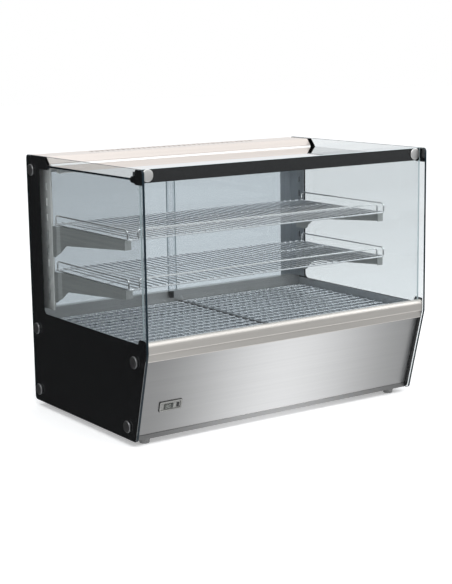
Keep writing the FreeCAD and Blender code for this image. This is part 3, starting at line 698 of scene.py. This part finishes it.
# In the thermometer's own frame X runs across the panel, Z up it, and the front is at low Y.
gauge_width = gauge_high.x - gauge_low.x
gauge_height = 0.027
gauge_opening = (0.0555, 0.0185)
gauge_lip = 0.0034
bezel_depth = 0.0011
bezel_set = 0.0007
face_back = -0.0005
face_front = -0.0013
figure_back = -0.0026
display_front = -0.0027
figure_front = -0.00285
button_front = -0.0029
button_back = -0.0012
window_x = -0.006
window_z = -0.0005
button_x = 0.0205
figure_x = -0.0115
figure_pitch = 0.0075


def gauge_piece(name, finish, replaced, build):
    """Build a piece in the thermometer's own frame and set it on the leaning panel."""
    bm = bmesh.new()
    build(bm)
    mesh = mesh_of(bm, name)
    mesh.transform(gauge_frame)
    mesh.set_sharp_from_angle(angle=SHARP_ANGLE)
    show(name, mesh, [finish], "case", replaced, smooth=True)


def gauge_casing(bm):
    """The moulded body: a dark flange on the panel, and the box behind it."""
    flange_front = bezel_depth - gauge_lip
    flange_back = -0.0003
    box_front = -0.0004
    box_back = 0.024
    box_width, box_height = (side + fine_edge for side in gauge_opening)
    rounded_frame(bm, (gauge_width, gauge_height), gauge_opening, flange_front, flange_back, 0.003, 0.0004)
    rounded_block(bm, box_width, box_height, box_front, box_back, 0.001, fine_edge)


def gauge_bezel(bm):
    """The silver front frame, and the recessed face inside it."""
    front = (gauge_width - 2 * bezel_set, gauge_height - 2 * bezel_set)
    rounded_frame(bm, front, gauge_opening, -gauge_lip, bezel_depth - gauge_lip, 0.0026, 0.0006)
    rounded_block(bm, *gauge_opening, face_front, face_back, 0.001, fine_edge)


def gauge_display(bm):
    """The dark window, a little left of the middle."""
    width, height = 0.026, 0.0125
    rounded_block(bm, width, height, display_front, face_front, 0.0008, 0.0003, at=(window_x, window_z))


def gauge_digits(bm):
    """Blank seven-segment bars for two figures: all of them alike, so they give no reading."""
    bar, wide, tall = 0.0008, 0.0042, 0.0034
    level_z = (window_z + 0.0043, window_z, window_z - 0.0043)
    flank_x = (-0.0024, 0.0024)
    flank_z = (window_z + 0.0022, window_z - 0.0022)
    for x in (figure_x, figure_x + figure_pitch):
        bars = [(x, z, wide, bar) for z in level_z]
        bars += [(x + across, z, bar, tall) for z in flank_z for across in flank_x]
        for u, v, width, height in bars:
            rounded_block(bm, width, height, figure_front, figure_back, fine_edge, tiny_edge / 2, at=(u, v))


def gauge_button(bm):
    """The key at the right of the window."""
    width, height = 0.0065, 0.0115
    rounded_block(bm, width, height, button_front, button_back, 0.0012, 0.0005, at=(button_x, window_z))


gauge_piece("thermometer_casing", black, ["thermometer_body"], gauge_casing)
gauge_piece("thermometer_bezel", bezel, (), gauge_bezel)
gauge_piece("thermometer_display", display, ["thermometer_window"], gauge_display)
gauge_piece("thermometer_segments", segment_grey, (), gauge_digits)
gauge_piece("thermometer_button", black, (), gauge_button)

# ---- thermostat knob -----------------------------------------------------------------------------
knob_low, knob_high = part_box("thermostat_knob")
knob_round = (knob_high.x - knob_low.x) / 2
knob_at = Vector(((knob_low.x + knob_high.x) / 2, knob_low.y, (knob_low.z + knob_high.z) / 2))
knob_long = knob_high.y - knob_low.y
grip_round = knob_round * 0.78
knob_face = knob_long - 0.0015
FLUTES = 14
FLUTE_DEPTH = 0.055
GRIP_RINGS = range(4, 8)


def fluted(ring, angle):
    """Finger flutes on the rings of the grip."""
    if ring not in GRIP_RINGS:
        return 1.0
    return 1.0 - FLUTE_DEPTH * (0.5 + 0.5 * math.cos(FLUTES * angle)) ** 2


knob_profile = [
    (0.0, 0.0004), (knob_round * 0.85, 0.0004), (knob_round, 0.0008), (knob_round, 0.0042),
    (grip_round, 0.0062), (grip_round * 0.98, knob_long * 0.55), (grip_round * 0.94, knob_long - 0.0028),
    (grip_round * 0.88, knob_long - 0.0016), (grip_round * 0.7, knob_face), (0.0, knob_face),
]
turned_piece("knob_grip", knob_profile, [(knob_at, (0, 1, 0))], black, "thermostat_dial",
             ["thermostat_knob"], fluted, steps=12 * FLUTES)

# The pointer is built facing the front and turned about, so that it stands on the knob's face.
pointer_width = 0.0022
pointer_long = knob_round * 0.62
bm = bmesh.new()
rounded_block(bm, pointer_width, pointer_long, -knob_long, -knob_face, 0.0009, 0.0004,
              at=(0, knob_round * 0.42))
mesh = mesh_of(bm, "knob_pointer")
mesh.transform(Matrix.Translation(knob_at) @ Matrix.Rotation(math.pi, 4, "Z"))
show("knob_pointer", mesh, [seal_white], "thermostat_dial")

# ---- panel screws, cable gland and feet ----------------------------------------------------------
screw_low, screw_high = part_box("rear_panel_screws")
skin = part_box("rear_panel")[1].y
screw_round = 0.004
screw_rise = screw_high.y - skin
screw_long = 0.006
shank = 0.0019
inner_screw_x = 0.14
screw_places = [
    ((x, skin, z), (0, 1, 0))
    for x in (screw_low.x + screw_round, -inner_screw_x, inner_screw_x, screw_high.x - screw_round)
    for z in (screw_low.z + screw_round, screw_high.z - screw_round)
]
SOCKET_RING = 8


def socket(ring, angle):
    """The hexagon socket in a screw's head."""
    return hexagon(angle) if ring >= SOCKET_RING else 1.0


socket_round = screw_round * 0.3
screw_profile = [
    (0.0, -screw_long), (shank, -screw_long), (shank, 0.0),
    (screw_round - 0.0002, 0.0), (screw_round, 0.0003),
    (screw_round * 0.93, screw_rise * 0.62), (screw_round * 0.72, screw_rise * 0.9),
    (screw_round * 0.5, screw_rise), (socket_round, screw_rise), (socket_round, screw_rise * 0.35),
    (0.0, screw_rise * 0.3),
]
turned_piece("panel_screws", screw_profile, screw_places, cap_metal, "case",
             ["rear_panel_screws"], socket)

gland_low, gland_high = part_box("cable_gland")
gland_at = ((gland_low.x + gland_high.x) / 2, skin, (gland_low.z + gland_high.z) / 2)
gland_round = (gland_high.x - gland_low.x) / 2 * math.cos(math.pi / 6)
gland_out = gland_high.y - skin
gland_bore = 0.004
gland_back = -0.0105
gland_thread = 0.0078
NUT_RINGS = (1, 2, 5, 6)


def nut(ring, angle):
    """The two hexagon nuts of the gland: inside the panel and outside it."""
    return hexagon(angle) if ring in NUT_RINGS else 1.0


gland_profile = [
    (gland_bore, gland_back), (gland_round * 0.96, -0.008), (gland_round * 0.96, -0.003),
    (gland_thread, -0.0025), (gland_thread, 0.0), (gland_round * 0.97, 0.0004), (gland_round * 0.97, 0.0072),
    (0.0086, 0.0078), (0.0084, gland_out - 0.0034), (0.0072, gland_out - 0.001), (0.0058, gland_out),
    (gland_bore, gland_out - 0.0006), (gland_bore, gland_back),
]
turned_piece("gland_body", gland_profile, [(gland_at, (0, 1, 0))], black, "case",
             ["cable_gland"], nut, steps=72)

stem_round = 0.003
pad_top = floor_gap - 0.0002
for name in ("front_left", "front_right", "rear_left", "rear_right"):
    foot_low, foot_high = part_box(f"foot_{name}")
    foot_round = (foot_high.x - foot_low.x) / 2
    foot_profile = [
        (0.0, 0.0004), (foot_round * 0.5, 0.0004), (foot_round * 0.56, 0.0), (foot_round * 0.82, 0.0),
        (foot_round * 0.88, 0.0008), (foot_round * 0.91, 0.005), (foot_round * 0.87, 0.0058),
        (foot_round * 0.87, 0.0068), (foot_round * 0.94, 0.0076), (foot_round * 0.985, 0.0138),
        (foot_round * 0.96, pad_top), (stem_round, pad_top), (stem_round, foot_high.z - 0.0006),
        (stem_round - 0.0006, foot_high.z), (0.0, foot_high.z),
    ]
    at = ((foot_low.x + foot_high.x) / 2, (foot_low.y + foot_high.y) / 2, 0)
    turned_piece(f"foot_pad_{name}", foot_profile, [(at, (0, 0, 1))], rubber, "case",
                 [f"foot_{name}"])

# ---- painted shade: a black bar in the gap between the deck grids, and a dark mat under the tray's slots ---
grid_low, grid_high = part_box("deck_grid_right")
tray_low, tray_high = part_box("deck_tray")
bar_play = 0.0018
bar_half = grid_low.x - bar_play
bar_top = grid_high.z - 0.0015


def flat_bar(name, low_corner, high_corner, level_low, level_high, edge, finish):
    """A flat plate over a rectangle in X and Y."""
    (x0, y0), (x1, y1) = low_corner, high_corner
    loop = [Vector(corner) for corner in ((x0, y0), (x1, y0), (x1, y1), (x0, y1))]
    made = plate_mesh(name, loop, [], "Z", level_low, level_high, edge)
    show(name, made, [finish, finish], "case")


# Painted shade: a black bar fills the gap between the grids, where the dark is shade.
flat_bar("deck_gap_shade_bar", (-bar_half, grid_low.y), (bar_half, grid_high.y), grid_low.z, bar_top,
         2 * fine_edge, black)
mat_side = 0.012
mat_end = 0.02
mat_thick = 0.003
mat_top = tray_low.z - 0.0008
# Painted shade: a dark sheet under the tray, seen through its slots where there is only shade.
flat_bar("tray_shade_mat", (tray_low.x + mat_side, tray_low.y + mat_end),
         (tray_high.x - mat_side, tray_high.y - mat_end), mat_top - mat_thick, mat_top,
         2 * fine_edge, shade_sheet)

# ---- painted highlight: a white bead along the canopy's foot; painted shade: a dark liner behind its vents ---
canopy_low, canopy_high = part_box("canopy_cover")
bead_height = 0.0026
bead_reach = bead_height * 1.5
bead_end = 0.002
bead_loop = [Vector((0, 0)), Vector((-bead_reach, 0))]
bead_loop += [
    Vector((-bead_reach * math.cos(turn), bead_height * math.sin(turn)))
    for turn in [math.pi / 12 * step for step in range(1, 7)]
]
# Painted highlight: a white bead in the joint of canopy and top glass stands in for the light reflected
# along it.
bead_loop = [point + Vector((canopy_low.y, top_high.z)) for point in bead_loop]
mesh = plate_mesh("canopy_highlight_bead", bead_loop, [], "X", canopy_low.x + bead_end, canopy_high.x - bead_end,
                  fine_edge)
show("canopy_highlight_bead", mesh, [seal_white, seal_white], "case")
liner_end = 0.01
liner_thick = 0.0008
liner_top = canopy_high.z - 0.005
# Painted shade: a dark sheet behind the canopy's vents, where there is only shade.
flat_bar("canopy_shade_liner", (canopy_low.x + liner_end, canopy_high.y - 0.05),
         (canopy_high.x - liner_end, canopy_high.y - 0.003), liner_top - liner_thick, liner_top,
         tiny_edge, shade_sheet)

# ---- stage, light and camera ---------------------------------------------------------------------
bpy.ops.mesh.primitive_plane_add(size=30, location=(0, 0, 0))
ground = bpy.context.object
ground.name = "ground"
pale = Finish("ground_pale", (0.92, 0.92, 0.92), 0.8, Emission_Color=(1, 1, 1, 1), Emission_Strength=0.25)
ground.data.materials.append(pale.material)
ground.visible_glossy = False


def softbox(name, at, target, width, height, power):
    """A rectangular area light that faces a target."""
    data = bpy.data.lights.new(name, "AREA")
    data.shape = "RECTANGLE"
    data.size = width
    data.size_y = height
    data.energy = power
    lamp_object = bpy.data.objects.new(name, data)
    bpy.context.scene.collection.objects.link(lamp_object)
    lamp_object.location = at
    lamp_object.rotation_mode = "QUATERNION"
    lamp_object.rotation_quaternion = (Vector(at) - Vector(target)).to_track_quat("Z", "Y")


middle = Vector((0, 0, top_edge / 2))
softbox("key_softbox", (-0.6, -1.6, 2.6), middle, 2.4, 1.6, 40)
softbox("fill_softbox", (2.4, -1.2, 1.6), middle, 1.4, 1.8, 12)


def studio_world():
    """White behind the object for the camera, and a room around it for light and reflections.

    The room is bright above, dim below the horizon, bright again at the table, and dark in the corner
    at the rear left.
    """
    world = bpy.data.worlds.new("studio")
    bpy.context.scene.world = world
    world.use_nodes = True
    tree = world.node_tree

    def node(kind, **settings):
        made = tree.nodes.new("ShaderNode" + kind)
        for key, value in settings.items():
            setattr(made, key, value)
        return made

    def mapped(source, from_low, from_high, to_low, to_high):
        made = node("MapRange", interpolation_type="SMOOTHSTEP")
        made.inputs["From Min"].default_value = from_low
        made.inputs["From Max"].default_value = from_high
        made.inputs["To Min"].default_value = to_low
        made.inputs["To Max"].default_value = to_high
        tree.links.new(source, made.inputs["Value"])
        return made.outputs["Result"]

    direction = node("TexCoord").outputs["Generated"]
    parts = node("SeparateXYZ")
    tree.links.new(direction, parts.inputs["Vector"])
    toward = node("VectorMath", operation="DOT_PRODUCT")
    dark_corner = Vector((-0.62, 0.76, -0.2)).normalized()
    toward.inputs[1].default_value = dark_corner
    tree.links.new(direction, toward.inputs[0])
    upper = mapped(parts.outputs["Z"], -0.12, 0.1, 0.22, 0.95)
    table = mapped(parts.outputs["Z"], -0.5, -0.24, 0.8, 0.0)
    room = node("Math", operation="ADD")
    tree.links.new(upper, room.inputs[0])
    tree.links.new(table, room.inputs[1])
    corner = mapped(toward.outputs["Value"], 0.55, 0.92, 1.0, 0.12)
    shade = node("Math", operation="MULTIPLY")
    tree.links.new(room.outputs["Value"], shade.inputs[0])
    tree.links.new(corner, shade.inputs[1])
    around = tree.nodes["Background"]
    around.inputs["Color"].default_value = (0.97, 0.985, 1.0, 1)
    tree.links.new(shade.outputs["Value"], around.inputs["Strength"])
    behind = node("Background")
    behind.inputs["Color"].default_value = (1, 1, 1, 1)
    choice = node("MixShader")
    tree.links.new(node("LightPath").outputs["Is Camera Ray"], choice.inputs["Fac"])
    tree.links.new(around.outputs["Background"], choice.inputs[1])
    tree.links.new(behind.outputs["Background"], choice.inputs[2])
    tree.links.new(choice.outputs["Shader"], tree.nodes["World Output"].inputs["Surface"])


studio_world()

camera_data = bpy.data.cameras.new("camera")
camera = bpy.data.objects.new("camera", camera_data)
bpy.context.scene.collection.objects.link(camera)
bpy.context.scene.camera = camera
yaw, pitch, roll = (math.radians(angle) for angle in (34.579, 10.561, -0.846))
ahead = Vector((math.sin(yaw) * math.cos(pitch), math.cos(yaw) * math.cos(pitch), -math.sin(pitch)))
level_right = Vector((math.cos(yaw), -math.sin(yaw), 0))
level_up = level_right.cross(ahead)
right = level_right * math.cos(roll) + level_up * math.sin(roll)
up = level_up * math.cos(roll) - level_right * math.sin(roll)
camera_at = (-2.0679, -2.9871, 0.9742)
camera_turn = Matrix((right, up, -ahead)).transposed().to_4x4()
camera.matrix_world = Matrix.Translation(camera_at) @ camera_turn
camera_data.sensor_width = 36.0
camera_data.lens = 85.73
bpy.context.scene.view_settings.view_transform = "Standard"
